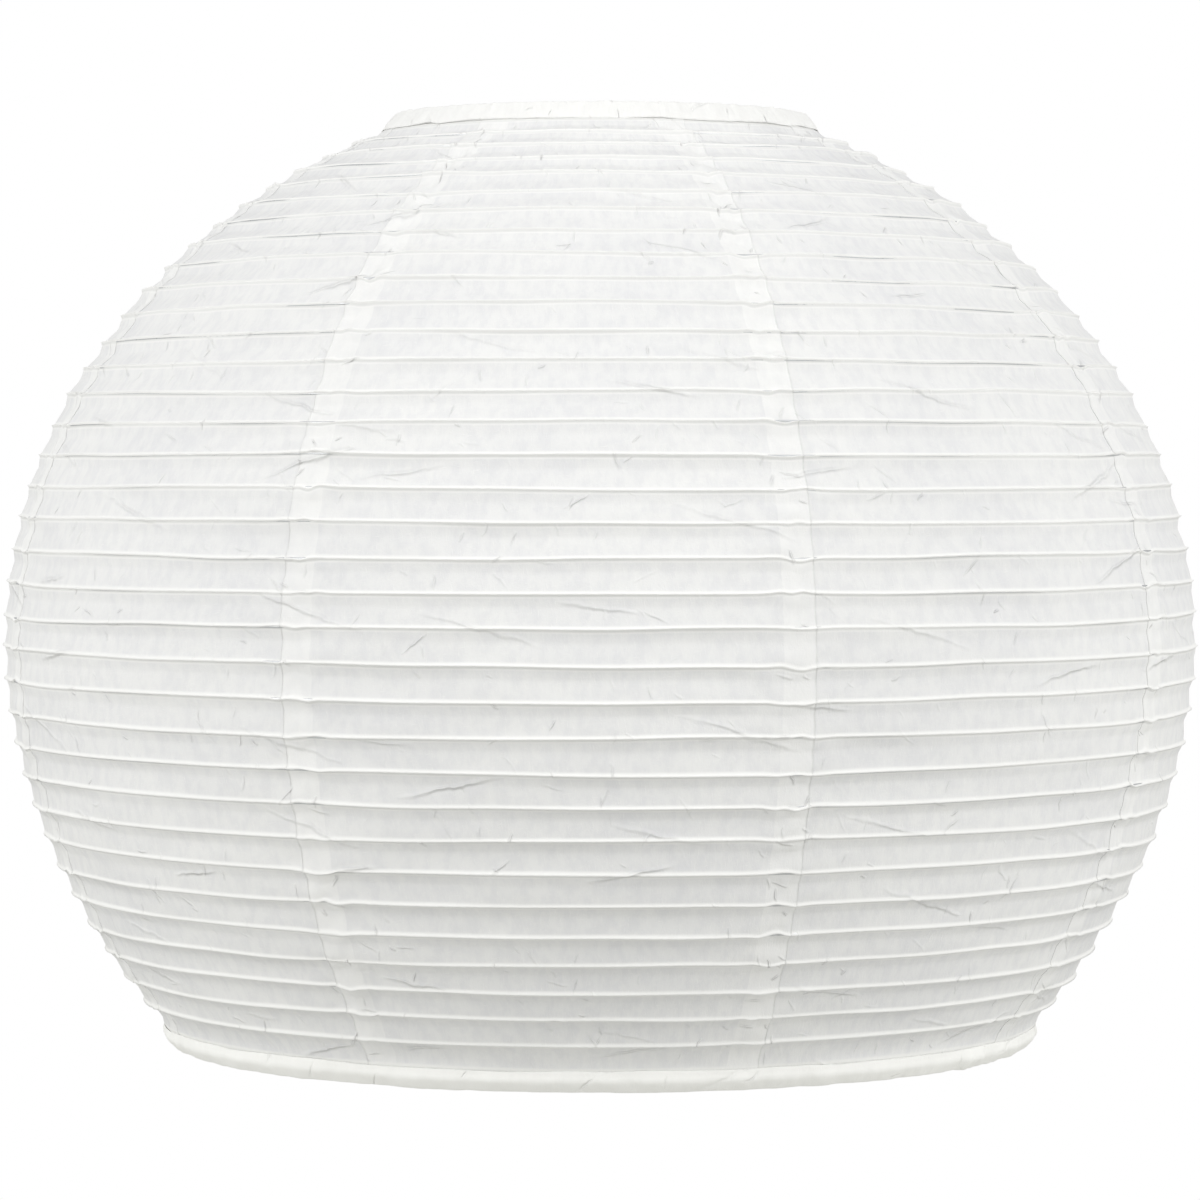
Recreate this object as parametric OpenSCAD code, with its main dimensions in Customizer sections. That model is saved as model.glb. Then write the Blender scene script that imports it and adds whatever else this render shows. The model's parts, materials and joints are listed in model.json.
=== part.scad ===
// Pendant lamp shade of rice paper on wire hoops, with the wire expander that holds it open.
// The lamp holder goes through the socket ring, whose top is at the origin. The shade hangs below, along -Z.

/* [Shade outline] */
// Widest diameter, over the paper
shade_d = 500; // [400:10:700]
// Semi-height of the upper half's ellipse
upper_h = 229.5; // [190:0.5:300]
// Semi-height of the lower half, where it would come to a point
lower_h = 248.5; // [200:0.5:310]
// Roundness of the lower half: 2 is an ellipse, and less draws it in below the widest place
lower_power = 1.85; // [1.7:0.05:2.2]
// Diameter over the hem of the top rim
top_rim_d = 174; // [150:1:220]
// Diameter over the hem of the bottom rim
bottom_rim_d = 360; // [280:1:390]
// Height of the steep collar below the top rim
collar_h = 7.5; // [6:0.5:10]
// How far the collar spreads outwards from the top rim to its foot
collar_spread = 4.7; // [4:0.1:8]
// Height of the bottom hem
hem_h = 8.6; // [7:0.1:14]
// How far the bottom hem spreads outwards from the bottom rim to its top edge
hem_spread = 3.2; // [2:0.1:6]

/* [Ribs and rims] */
// Number of wire ribs, with one at the collar's foot and one at the top edge of the bottom hem
rib_count = 35; // [24:1:35]
// Diameter of a rib's wire
rib_wire_d = 0.9; // [0.7:0.1:1.4]
// Diameter of a rim's wire
rim_wire_d = 2.5; // [2:0.1:3.5]

/* [Paper] */
// Number of paper gores round the shade
gore_count = 8; // [8:8]
// Thickness of one layer of paper
paper_t = 0.2; // [0.15:0.05:0.3]
// Width of the lap at each seam
lap_w = 13; // [8:1:20]
// How far the paper sinks inwards between two ribs
paper_sag = 1.2; // [0.4:0.1:2]
// Angle of the first seam from +X
seam_turn = 17.5; // [0:0.5:44.5]

/* [Expander] */
// Diameter of the bore that takes the lamp holder
socket_bore_d = 42; // [28:0.5:45]
// Wall of the socket ring's collar
socket_wall = 1.6; // [1.2:0.1:2.5]
// Diameter of the expander's wire
leg_wire_d = 2.5; // [2:0.1:3]
// Inside radius of the wire's bends
bend_r = 2; // [1.5:0.1:3]
// Depth of the notch in each leg's foot
notch_depth = 3.5; // [2:0.1:5]

/* [Clearances] */
// Gap between two glued layers
glue_gap = 0.1; // [0.05:0.01:0.15]
// Gap between a wire and the paper over it
wire_gap = 0.15; // [0.1:0.01:0.3]
// Gap between pieces that slide past each other
slide_gap = 0.3; // [0.2:0.05:0.5]
// Radial gap between the swivel ring and the collar it turns on
swivel_gap = 0.05; // [0.02:0.01:0.1]

/* [Hidden] */
function rib_name(i) = str("rib_", i < 10 ? "0" : "", i);
function gore_name(g) = str("gore_", g);
$fn = 96;

paper_white = [0.95, 0.95, 0.93];
hem_white = [0.98, 0.98, 0.97];
wire_grey = [0.62, 0.63, 0.65];
paint_white = [0.9, 0.9, 0.88];

// ---- The paper's outline: [radius, height] points of its outer surface, from the collar's foot to the hem ----

widest = shade_d / 2;
foot_r = top_rim_d / 2 + collar_spread;
foot_phi = acos(foot_r / widest);
hem_top_r = bottom_rim_d / 2 + hem_spread;
hem_phi = -acos(pow(hem_top_r / widest, lower_power / 2));
equator_z = -collar_h - upper_h * sin(foot_phi);
hem_top_z = equator_z - lower_h * pow(sin(-hem_phi), 2 / lower_power);
bottom_z = hem_top_z - hem_h;

function unit(v) = v / norm(v);

// A place on the outline, phi being the curve's own angle: above 0 in the upper half, below 0 in the lower. The
// upper half is an ellipse, and the lower half a superellipse of power lower_power.
function upper_outline(phi) = [widest * cos(phi), equator_z + upper_h * sin(phi)];
function lower_outline(phi) =
    [widest * pow(cos(phi), 2 / lower_power), equator_z - lower_h * pow(sin(-phi), 2 / lower_power)];
function outline(phi) = phi > 0 ? upper_outline(phi) : lower_outline(phi);

// Outward direction at a place on the outline.
function upper_outward(phi) = unit([cos(phi) / widest, sin(phi) / upper_h]);
function lower_outward(phi) =
    unit([pow(cos(phi), 2 - 2 / lower_power) / widest, -pow(sin(-phi), 2 - 2 / lower_power) / lower_h]);
function outward(phi) = phi > 0 ? upper_outward(phi) : lower_outward(phi);

// Length of the outline from the collar's foot down to each of many places: [length, phi] pairs.
outline_steps = 400;
function step_phi(i) = foot_phi + (hem_phi - foot_phi) * i / outline_steps;
arc_table = [
    for (
        i = 0, s = 0;
        i <= outline_steps;
        s = s + norm(outline(step_phi(i + 1)) - outline(step_phi(i))), i = i + 1
    ) [s, step_phi(i)]
];
outline_length = arc_table[outline_steps][0];
rib_pitch = outline_length / (rib_count - 1);
function phi_at(s) = lookup(s, arc_table);

// Rib i, counted from 0 at the collar's foot. Half numbers are midway between two ribs.
function rib_phi(i) = phi_at(i * rib_pitch);
function inside_paper(phi, depth) = outline(phi) - depth * outward(phi);

// Depths below the outer surface. Even gores are on top, and odd gores lie under their edges.
under_top_layer = paper_t + glue_gap;
under_both_layers = under_top_layer + paper_t;
rib_depth = under_both_layers + wire_gap + rib_wire_d / 2;
function rib_centre(i) = inside_paper(rib_phi(i), rib_depth);

// ---- Ribs ----

module hoop(centre, wire_d) {
    rotate_extrude()
        translate(centre)
            circle(d = wire_d, $fn = 24);
}

module rib(i) {
    color(wire_grey)
        hoop(rib_centre(i - 1), rib_wire_d);
}

// ---- Paper gores ----

// Both ends of a gore are tucked under a hem by this length.
tuck = 1.5;
last_rib = rib_count - 1;

// Ridges over the ribs and valleys between them, at a given depth below the outer surface. The tucks run beside
// the inner layers of the hems.
function paper_line(depth) = concat(
    [inside_paper(rib_phi(0), depth) + tuck * layer_direction(top_wire, top_tail, 1)],
    [
        for (k = [0 : 2 * last_rib])
            inside_paper(rib_phi(k / 2), depth + (k % 2) * paper_sag)
    ],
    [inside_paper(rib_phi(last_rib), depth) + tuck * layer_direction(bottom_wire, bottom_tail, -1)]
);
function reversed(list) = [for (k = [len(list) - 1 : -1 : 0]) list[k]];

gore_angle = 360 / gore_count;
half_lap = lap_w / 2;

// Plan outline of gore number g: the wedge between its two seams, with half a lap added beyond each seam.
module gore_wedge(g) {
    from = seam_turn + (g - 1) * gore_angle;
    to = from + gore_angle;
    reach = shade_d;
    beyond = [half_lap * [sin(from), -cos(from)], half_lap * [-sin(to), cos(to)]];
    point = half_lap / sin(gore_angle / 2) * -[cos(from + gore_angle / 2), sin(from + gore_angle / 2)];
    polygon([
        point,
        beyond[0] + reach * [cos(from), sin(from)],
        beyond[1] + reach * [cos(to), sin(to)]
    ]);
}

module gore(g) {
    depth = g % 2 == 0 ? 0 : under_top_layer;
    color(paper_white)
        intersection() {
            rotate_extrude($fn = 240)
                polygon(concat(paper_line(depth), reversed(paper_line(depth + paper_t))));
            translate([0, 0, bottom_z - 1])
                linear_extrude(height = -bottom_z + 2)
                    gore_wedge(g);
        }
}

// ---- Rims and hems ----

rim_wrap_r = rim_wire_d / 2 + glue_gap;
loop_r = rim_wrap_r + paper_t;
top_wire = [top_rim_d / 2 - loop_r, -loop_r];
bottom_wire = [bottom_rim_d / 2 - loop_r, bottom_z + loop_r];

// Middle of a hem's free edge, where its two layers lie on top of the gores.
hem_lift = glue_gap + paper_t + glue_gap / 2;
top_tail = [foot_r, -collar_h] + hem_lift * unit([collar_h, collar_spread]);
bottom_tail = [hem_top_r, hem_top_z] + hem_lift * unit([hem_h, -hem_spread]);

function angle_of(v) = atan2(v[1], v[0]);
function full_turn(a) = a - 360 * floor(a / 360);

// Where a line from an outside point touches a circle, on its left (side 1) or its right (side -1).
function touch(from, centre, r, side) =
    let (
        away = norm(centre - from),
        a = angle_of(centre - from) + side * asin(r / away)
    )
    from + sqrt(away * away - r * r) * [cos(a), sin(a)];

// Direction of one layer of a folded strip, from its free edge towards the wire: the left layer is side 1, and
// the right one side -1.
hem_half_edge = glue_gap / 2 + paper_t;
function layer_direction(wire, tail, side) =
    let (
        along = unit(wire - tail),
        edge = tail + side * hem_half_edge * [-along[1], along[0]]
    )
    unit(touch(edge, wire, loop_r, side) - edge);

// Outline of a strip that runs from a blunt edge at the tail, round the far side of a wire, and back.
module loop_outline(wire, tail, r, half_edge) {
    along = unit(wire - tail);
    across = half_edge * [-along[1], along[0]];
    from = angle_of(touch(tail + across, wire, r, 1) - wire);
    to = angle_of(touch(tail - across, wire, r, -1) - wire);
    turn = full_turn(from - to);
    polygon(concat(
        [tail + across],
        [for (k = [0 : 24]) wire + r * [cos(from - turn * k / 24), sin(from - turn * k / 24)]],
        [tail - across]
    ));
}

// A strip of paper folded round a rim wire, its two layers glued together down to the free edge.
module folded_strip(wire, tail) {
    closed_edge = 2 * paper_t;
    color(hem_white)
        rotate_extrude($fn = 240)
            difference() {
                loop_outline(wire, tail, loop_r, hem_half_edge);
                loop_outline(wire, tail + closed_edge * unit(wire - tail), rim_wrap_r, glue_gap / 2);
            }
}

module rim_wire(centre) {
    color(wire_grey)
        hoop(centre, rim_wire_d);
}

module top_rim_wire() {
    rim_wire(top_wire);
}

module bottom_rim_wire() {
    rim_wire(bottom_wire);
}

module top_hem() {
    folded_strip(top_wire, top_tail);
}

module bottom_hem() {
    folded_strip(bottom_wire, bottom_tail);
}

// ---- Socket ring and swivel ring ----

bore_r = socket_bore_d / 2;
collar_r = bore_r + socket_wall;
flange_w = 3.4;
ring_r = collar_r + flange_w;
lip_w = 2;
lip_r = collar_r + lip_w;
lip_h = 1.2;
// Metal left above and below an arm's hole, in the flange and in the swivel ring.
flange_margin = 0.95;
flange_h = leg_wire_d + 2 * flange_margin;
swivel_margin = 1.15;
swivel_h = leg_wire_d + 2 * swivel_margin;
axial_gap = 0.2;
swivel_top_z = -flange_h - axial_gap;
lip_top_z = swivel_top_z - swivel_h - axial_gap;
fixed_arm_z = -flange_h / 2;
swivel_arm_z = swivel_top_z - swivel_h / 2;

// The arms' ends sit in blind holes this deep, with a brazing gap round them.
arm_seat = 2;
braze_gap = 0.05;

// Two blind holes, opposite each other, drilled inwards from the ring's outside.
module arm_holes(z, turn) {
    for (side = [0, 180])
        rotate([0, 0, turn + side])
            translate([ring_r - arm_seat, 0, z])
                rotate([0, 90, 0])
                    cylinder(h = arm_seat + 1, d = leg_wire_d + 2 * braze_gap, $fn = 32);
}

module socket_ring() {
    color(paint_white)
        difference() {
            rotate_extrude()
                polygon([
                    [bore_r, 0], [ring_r, 0], [ring_r, -flange_h], [collar_r, -flange_h],
                    [collar_r, lip_top_z], [lip_r, lip_top_z], [lip_r, lip_top_z - lip_h],
                    [bore_r, lip_top_z - lip_h]
                ]);
            arm_holes(fixed_arm_z, 0);
        }
}

module swivel_ring() {
    color(paint_white)
        difference() {
            translate([0, 0, swivel_top_z - swivel_h])
                cylinder(h = swivel_h, r = ring_r);
            translate([0, 0, swivel_top_z - swivel_h - 1])
                cylinder(h = swivel_h + 2, r = collar_r + swivel_gap);
            arm_holes(swivel_arm_z, 90);
        }
}

// ---- Expander legs ----

bend_line_r = bend_r + leg_wire_d / 2;

function direction(p, i) = unit(p[i + 1] - p[i]);
function bend_angle(p, i) =
    let (a = angle_of(direction(p, i)) - angle_of(direction(p, i - 1)))
    a - 360 * round(a / 360);
// Length of straight wire that the bend at point i takes from each side. The two ends have no bend.
function bend_take(p, i) =
    i == 0 || i == len(p) - 1 ? 0 : bend_line_r * tan(abs(bend_angle(p, i)) / 2);

// Round wire bent in the XZ plane through the points p, with an arc of bend_line_r at each inner point.
// Bending swells the wire a little, and each arc is drawn overlapping the straights by bend_lap.
bend_swell = 1.03;
bend_lap = 0.3;

module bent_wire(p) {
    last = len(p) - 1;
    rotate([90, 0, 0]) {
        for (i = [0 : last - 1])
            straight(
                p[i] + direction(p, i) * (bend_take(p, i) - (i > 0 ? bend_lap : 0)),
                p[i + 1] - direction(p, i) * (bend_take(p, i + 1) - (i + 1 < last ? bend_lap : 0))
            );
        for (i = [1 : last - 1])
            bend(p[i] - direction(p, i - 1) * bend_take(p, i), direction(p, i - 1), bend_angle(p, i));
    }
}

module straight(from, to) {
    translate(from)
        rotate([0, 90, angle_of(to - from)])
            cylinder(h = norm(to - from), d = leg_wire_d, $fn = 32);
}

// An arc that starts at a point, along a heading, and turns left for a positive angle.
module bend(start, heading, turn) {
    lap_angle = bend_lap / bend_line_r * 180 / PI;
    centre = start + sign(turn) * bend_line_r * [-heading[1], heading[0]];
    first = angle_of(start - centre) + min(turn, 0) - lap_angle;
    translate(centre)
        rotate([0, 0, first])
            rotate_extrude(angle = abs(turn) + 2 * lap_angle)
                translate([bend_line_r, 0])
                    circle(d = leg_wire_d * bend_swell, $fn = 32);
}

// The arm leaves the ring at arm_z, rises to a shoulder inside the top rim and dips under it. The leg then
// slants down to a shoulder and a notch just inside the bottom rim, drawn sprung inwards to clear it.
leg_r = leg_wire_d / 2;
loop_inside = top_wire[0] - loop_r;
shoulder_inset = 2;
shoulder_r = loop_inside - leg_r - shoulder_inset;
under_rim_gap = 2.1 * slide_gap;
under_rim_z = top_wire[1] - loop_r - leg_r - under_rim_gap;
// The swivel legs' arms start lower, and climb to the height of the other pair between these two radii.
climb_from_r = 0.72 * shoulder_r;
climb_to_r = shoulder_r - 5;
// How far the wire reaches out and down where it passes under the top rim.
dip_out = 0.3;
dip_down = 0.3;
hook_out = 1.9;
hook_down = 1.6;
foot_x = bottom_wire[0] - loop_r - slide_gap - leg_r;
foot_rise = 1.2;
foot_turn_in = 0.3;
notch_step = 1.4 * bend_line_r;

function leg_points(arm_z) = concat(
    [[ring_r - arm_seat + braze_gap, arm_z]],
    arm_z == fixed_arm_z ? [] : [[climb_from_r, arm_z], [climb_to_r, fixed_arm_z]],
    [
        [shoulder_r, fixed_arm_z],
        [loop_inside + dip_out, under_rim_z - dip_down],
        [top_wire[0] + hook_out, under_rim_z - hook_down],
        [foot_x, bottom_z + 2 * notch_step + foot_rise],
        [foot_x - notch_depth, bottom_z + notch_step + foot_rise],
        [foot_x - foot_turn_in, bottom_z + foot_rise]
    ]
);

module leg(arm_z, turn) {
    color(paint_white)
        rotate([0, 0, turn])
            bent_wire(leg_points(arm_z));
}

// ---- Placement ----

module rib_node(i) {
    rib(i);
}

module gore_node(g) {
    gore(g);
}

for (i = [1 : rib_count]) rib_node(i);
for (g = [1 : gore_count]) gore_node(g);
top_rim_wire();
top_hem();
bottom_rim_wire();
bottom_hem();
socket_ring();
leg(fixed_arm_z, 0);  // fixed_leg_right
leg(fixed_arm_z, 180);  // fixed_leg_left
swivel_ring();
leg(swivel_arm_z, 90);  // swivel_leg_back
leg(swivel_arm_z, 270);  // swivel_leg_front
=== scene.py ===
"""Gives a pendant paper lantern shade its looks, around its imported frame.

The shade is rice paper in eight lapped gores over level wire ribs, with a folded hem at each rim and a wire
expander inside. Every new surface is a grid of points, worked out as whole arrays. Lengths are in metres.
"""
import json
import math

import bpy
import numpy as np
from bpy.props import FloatProperty, FloatVectorProperty, IntProperty, PointerProperty
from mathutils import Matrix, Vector

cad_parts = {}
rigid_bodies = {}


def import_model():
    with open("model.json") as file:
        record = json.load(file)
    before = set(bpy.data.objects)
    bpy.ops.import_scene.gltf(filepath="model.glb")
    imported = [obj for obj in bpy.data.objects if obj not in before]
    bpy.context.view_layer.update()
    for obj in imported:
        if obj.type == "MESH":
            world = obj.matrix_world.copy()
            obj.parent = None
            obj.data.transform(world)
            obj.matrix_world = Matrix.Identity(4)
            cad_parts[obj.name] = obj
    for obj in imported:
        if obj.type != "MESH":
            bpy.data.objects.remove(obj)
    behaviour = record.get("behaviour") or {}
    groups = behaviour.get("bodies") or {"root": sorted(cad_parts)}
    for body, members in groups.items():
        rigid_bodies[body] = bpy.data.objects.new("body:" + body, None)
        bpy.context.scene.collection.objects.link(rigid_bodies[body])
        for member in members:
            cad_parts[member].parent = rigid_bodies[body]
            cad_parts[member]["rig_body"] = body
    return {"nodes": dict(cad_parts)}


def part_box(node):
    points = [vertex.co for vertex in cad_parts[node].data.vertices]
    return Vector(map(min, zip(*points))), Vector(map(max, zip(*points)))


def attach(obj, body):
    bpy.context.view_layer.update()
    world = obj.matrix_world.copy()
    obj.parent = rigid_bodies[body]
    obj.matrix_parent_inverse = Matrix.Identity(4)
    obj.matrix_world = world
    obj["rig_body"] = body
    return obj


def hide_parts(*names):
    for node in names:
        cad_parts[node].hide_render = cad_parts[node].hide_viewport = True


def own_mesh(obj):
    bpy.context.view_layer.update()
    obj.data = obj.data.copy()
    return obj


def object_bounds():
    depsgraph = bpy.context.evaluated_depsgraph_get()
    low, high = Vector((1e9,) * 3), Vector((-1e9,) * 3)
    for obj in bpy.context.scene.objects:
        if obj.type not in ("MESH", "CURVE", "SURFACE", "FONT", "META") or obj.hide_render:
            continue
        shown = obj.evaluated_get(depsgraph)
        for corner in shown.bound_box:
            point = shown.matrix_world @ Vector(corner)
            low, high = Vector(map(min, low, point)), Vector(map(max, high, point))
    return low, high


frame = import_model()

bl_info = {
    "name": "Paper Lantern Shade",
    "version": (1, 0, 0),
    "blender": (4, 5, 0),
    "location": "View3D > Sidebar > Lantern",
    "description": "Builds a rice-paper pendant shade, its hems and wires, and a studio stage",
    "category": "Add Mesh",
}


# ---- Places read from the frame ----

CAD_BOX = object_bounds()
RIBS = sorted(n for n in frame["nodes"] if n.startswith("rib_"))
GORES = sorted(n for n in frame["nodes"] if n.startswith("gore_"))
LAST_RIB = len(RIBS) - 1
GORE_TURN = 2 * math.pi / len(GORES)


def hoop_place(node):
    """A round hoop's middle radius, its middle height and its wire's radius, from its node's box."""
    low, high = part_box(node)
    wire = (high.z - low.z) / 2
    return (high.x - low.x) / 2 - wire, (high.z + low.z) / 2, wire


RIB_RINGS = np.array([hoop_place(n) for n in RIBS])
TOP_RIM = hoop_place("top_rim_wire")
BOTTOM_RIM = hoop_place("bottom_rim_wire")

# The ribs' mean radius, and their mean distance apart along the paper.
PAPER_ROUND = float(RIB_RINGS[:, 0].mean())
RIB_STEP = float(np.linalg.norm(np.diff(RIB_RINGS[:, :2], axis=0), axis=1).mean())


# ---- Fixed shapes of the paper ----

# Depth of the paper between two ribs as a share of the sag: it drops sharply just under the upper rib, slants
# in to a fold, slants out again, and rises steeply over the lower rib.
BAND_SHARE = np.array([
    0, 0.012, 0.03, 0.048, 0.075, 0.20, 0.31, 0.38, 0.45, 0.60, 0.75, 0.88, 0.93, 0.965, 1,
])
BAND_DEPTH = np.array([
    0, 0.15, 0.36, 0.50, 0.56, 0.76, 0.96, 1, 0.97, 0.83, 0.69, 0.56, 0.48, 0.28, 0,
])

# How far a gore goes on past its end ribs, counted in ribs.
TOP_TUCK = 0.12
BOTTOM_TUCK = 0.11

# Width and share of the lap's edge that is pasted down, and how much closer columns stand beside a seam.
PASTE_WIDTH = 0.003
PASTE_PRESS = 0.8
SEAM_CROWDING = 0.085

# Stations and sides of a rib's wire, stations of a hem, and points round and beside a hem's loop.
RIB_STATIONS = 360
RIB_SIDES = 8
HEM_STATIONS = 900
HEM_BEND_POINTS = 17
HEM_FLAT_POINTS = 9

# A hem's gap over the gores, half the gap between its strip's two free edges, how far those edges wander, and
# the angle of its one crumpled place.
HEM_GAP = 0.00006
HEM_SPREAD = 0.00006
HEM_WANDER = 0.0006
HEM_CRUMPLE = math.radians(-35)

# Seeds of the noises, so that every build gives the same shade.
SLOW_WAVE_SEED = 11
QUICK_WAVE_SEED = 12
SAG_SEED = 21
CRUMPLE_SEED = 31
PUCKER_SEED = 51
TOP_HEM_SEED = 61
BOTTOM_HEM_SEED = 71


# ---- Sizes and colours a user would change ----

class PaperSizes(bpy.types.PropertyGroup):
    """Sizes of the paper skin."""
    seam_turn: FloatProperty(name="First seam", description="Angle of the first seam from +X",
                             default=math.radians(17.5), subtype="ANGLE")
    lap: FloatProperty(name="Lap", description="Width of the glued lap at a seam", default=0.013,
                       unit="LENGTH")
    thickness: FloatProperty(name="Thickness", description="Thickness of one layer of paper",
                             default=0.0002, unit="LENGTH")
    lift: FloatProperty(name="Lift",
                        description="Outer face of the top layer above the middle of a rib's wire",
                        default=0.00125, unit="LENGTH")
    layer_gap: FloatProperty(name="Layer gap", description="Gap between two lapped layers",
                             default=0.0001, unit="LENGTH")
    sag: FloatProperty(name="Sag", description="Depth of the fold between two ribs", default=0.0021,
                       unit="LENGTH")
    wave: FloatProperty(name="Rib wave", description="How far a rib strays up or down from its level",
                        default=0.0011, unit="LENGTH")
    crinkle: FloatProperty(name="Crinkle", description="Depth of the soft crumpling of the paper",
                           default=0.00042, unit="LENGTH")
    pucker: FloatProperty(name="Pucker", description="How far the paper is pulled askew at a seam",
                          default=0.0011, unit="LENGTH")
    columns: IntProperty(name="Columns", description="Columns of faces across one gore", default=96)


class PaperColours(bpy.types.PropertyGroup):
    """Colours of the paper and the metal."""
    paper: FloatVectorProperty(name="Paper", description="Single layer of paper", subtype="COLOR", size=3,
                               default=(0.87, 0.872, 0.86))
    cloud: FloatVectorProperty(name="Thin places", description="Where the paper's fibres are thinner",
                               subtype="COLOR", size=3, default=(0.79, 0.793, 0.80))
    lap: FloatVectorProperty(name="Lap", description="Doubled paper at the seams and the top hem",
                             subtype="COLOR", size=3, default=(0.945, 0.945, 0.925))
    hem: FloatVectorProperty(name="Hem", description="Folded paper of the bottom hem",
                             subtype="COLOR", size=3, default=(0.985, 0.985, 0.955))
    wire: FloatVectorProperty(name="Wire", description="Drawn steel of the ribs and rims",
                              subtype="COLOR", size=3, default=(0.62, 0.63, 0.64))
    # Colour of the painted shadow line just under each rib
    painted_rib_shadow: FloatVectorProperty(name="Line", description="Painted shadow line just under each rib",
                                 subtype="COLOR", size=3, default=(0.42, 0.43, 0.44))
    paint: FloatVectorProperty(name="Paint", description="White paint of the expander",
                               subtype="COLOR", size=3, default=(0.80, 0.80, 0.78))


class StageSizes(bpy.types.PropertyGroup):
    """Camera, floor and light."""
    distance: FloatProperty(name="Distance", description="From the camera to the shade's axis", default=2.05,
                            unit="LENGTH")
    eye: FloatProperty(name="Eye", description="The camera's height, from the top rim", default=-0.145,
                       unit="LENGTH")
    aim: FloatProperty(name="Aim", description="Height on the axis that the camera looks at", default=-0.2035,
                       unit="LENGTH")
    lens: FloatProperty(name="Lens", description="Focal length in millimetres on a 36 mm sensor",
                        default=145.95)
    sky: FloatProperty(name="Sky", description="Strength of the even light from all round", default=0.57)
    overhead: FloatProperty(name="Overhead", description="Brightness of the wide panel overhead",
                            default=0.02)
    key: FloatProperty(name="Key", description="Brightness that each side light adds", default=0.43)
    drop: FloatProperty(name="Drop", description="From the bottom rim down to the floor", default=1.6,
                        unit="LENGTH")
    floor_side: FloatProperty(name="Floor", description="Half the side of the floor", default=8.0)
    floor_lift: FloatProperty(name="Floor lift", description="How much paler the floor looks to the camera",
                              default=0.36)


# ---- Smooth noise on the unrolled paper ----

def smooth(share):
    """A smooth step: three times the square less twice the cube."""
    return share * share * (3 - 2 * share)


def lattice_noise(x, y, across, seed):
    """Random values on a lattice that repeats every `across` cells along x, joined by smooth steps."""
    down = int(np.ceil(np.max(y))) + 3
    values = np.random.default_rng(seed).uniform(-1, 1, (down, across))
    column = np.floor(x).astype(int)
    row = np.floor(y).astype(int)
    fx = smooth(x - column)
    fy = smooth(y - row)
    left, right = column % across, (column + 1) % across
    upper, lower = row % down, (row + 1) % down
    top = values[upper, left] * (1 - fx) + values[upper, right] * fx
    bottom = values[lower, left] * (1 - fx) + values[lower, right] * fx
    return top * (1 - fy) + bottom * fy


def paper_noise(turn, down, cell, seed, octaves=2, stretch=1.0):
    """Sum of lattice noises over the angle and the distance down the paper; each octave is half as wide and
    half as high. cell is the first octave's cell in metres, and stretch makes it wider than it is high."""
    total = np.zeros(np.broadcast(turn, down).shape)
    for k in range(octaves):
        size = cell / 2 ** k
        across = max(3, int(round(2 * math.pi * PAPER_ROUND / (size * stretch))))
        layer = lattice_noise(turn / (2 * math.pi) * across, down / size + 3, across, seed + k)
        total += layer / 2 ** k
    return total


# ---- The paper's surface ----

def meridian(level):
    """Middle line of the ribs at a level counted in ribs, 0 at the top: points and outward normals in (r, z).
    Between ribs it is a cubic whose slope at each rib is half the step between that rib's neighbours."""
    ring = RIB_RINGS[:, :2]
    slope = np.gradient(ring, axis=0)
    k = np.clip(np.floor(level).astype(int), 0, LAST_RIB - 1)
    f = (level - k)[..., None]
    p0, p1, m0, m1 = ring[k], ring[k + 1], slope[k], slope[k + 1]
    point = ((2 * f ** 3 - 3 * f ** 2 + 1) * p0 + (f ** 3 - 2 * f ** 2 + f) * m0
             + (3 * f ** 2 - 2 * f ** 3) * p1 + (f ** 3 - f ** 2) * m1)
    along = ((6 * f ** 2 - 6 * f) * p0 + (3 * f ** 2 - 4 * f + 1) * m0
             + (6 * f - 6 * f ** 2) * p1 + (3 * f ** 2 - 2 * f) * m1)
    along /= np.linalg.norm(along, axis=-1, keepdims=True)
    return point, np.stack([-along[..., 1], along[..., 0]], axis=-1)


def rib_wave(turn, rib, height):
    """How far rib number `rib` strays from level at an angle: a slow and a quick smooth noise, which differ
    from rib to rib, and nothing at the two ribs that the rims hold."""
    slow_cells = 9
    quick_cells = 40
    round_once = turn / (2 * math.pi)
    slow = lattice_noise(round_once * slow_cells, rib * 7.3 + 2, slow_cells, SLOW_WAVE_SEED)
    quick = lattice_noise(round_once * quick_cells, rib * 5.1 + 2, quick_cells, QUICK_WAVE_SEED)
    held = np.clip(np.minimum(rib, LAST_RIB - rib) / 2, 0, 1)
    return height * held * (0.75 * slow + 0.35 * quick)


def seam_distance(turn, radius, first):
    """Distance from the nearest seam plane, positive on its counter-clockwise side."""
    from_seam = (turn - first + GORE_TURN / 2) % GORE_TURN - GORE_TURN / 2
    return radius * np.sin(from_seam)


def near_seam(turn, paper, reach):
    """A bell across a seam: 1 on it, falling off over a distance of reach."""
    return np.exp(-(seam_distance(turn, PAPER_ROUND, paper.seam_turn) / reach) ** 2)


def paper_offset(turn, level, paper):
    """How far the paper stands from its ribs' outer line, inwards being negative. The band profile's depth
    wanders along each band, and soft crumples are added where the ribs don't hold the paper, deeper beside a
    seam."""
    sag_cell = 0.05
    sag_change = 0.3
    share = level - np.floor(level)
    band = np.floor(level) * sag_cell + 0 * turn
    depth = paper.sag * (1 + sag_change * paper_noise(turn, band, sag_cell, SAG_SEED))
    free = np.clip(np.minimum(share, 1 - share) / 0.2, 0, 1)
    crumple = paper_noise(turn, level * RIB_STEP, 0.014, CRUMPLE_SEED, octaves=3, stretch=1.6)
    crumple = crumple * (0.6 + 1.4 * near_seam(turn, paper, 0.016))
    inside = np.clip(np.minimum(level, LAST_RIB - level) * 4, 0, 1)
    return inside * (free * paper.crinkle * crumple - depth * np.interp(share, BAND_SHARE, BAND_DEPTH))


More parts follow.
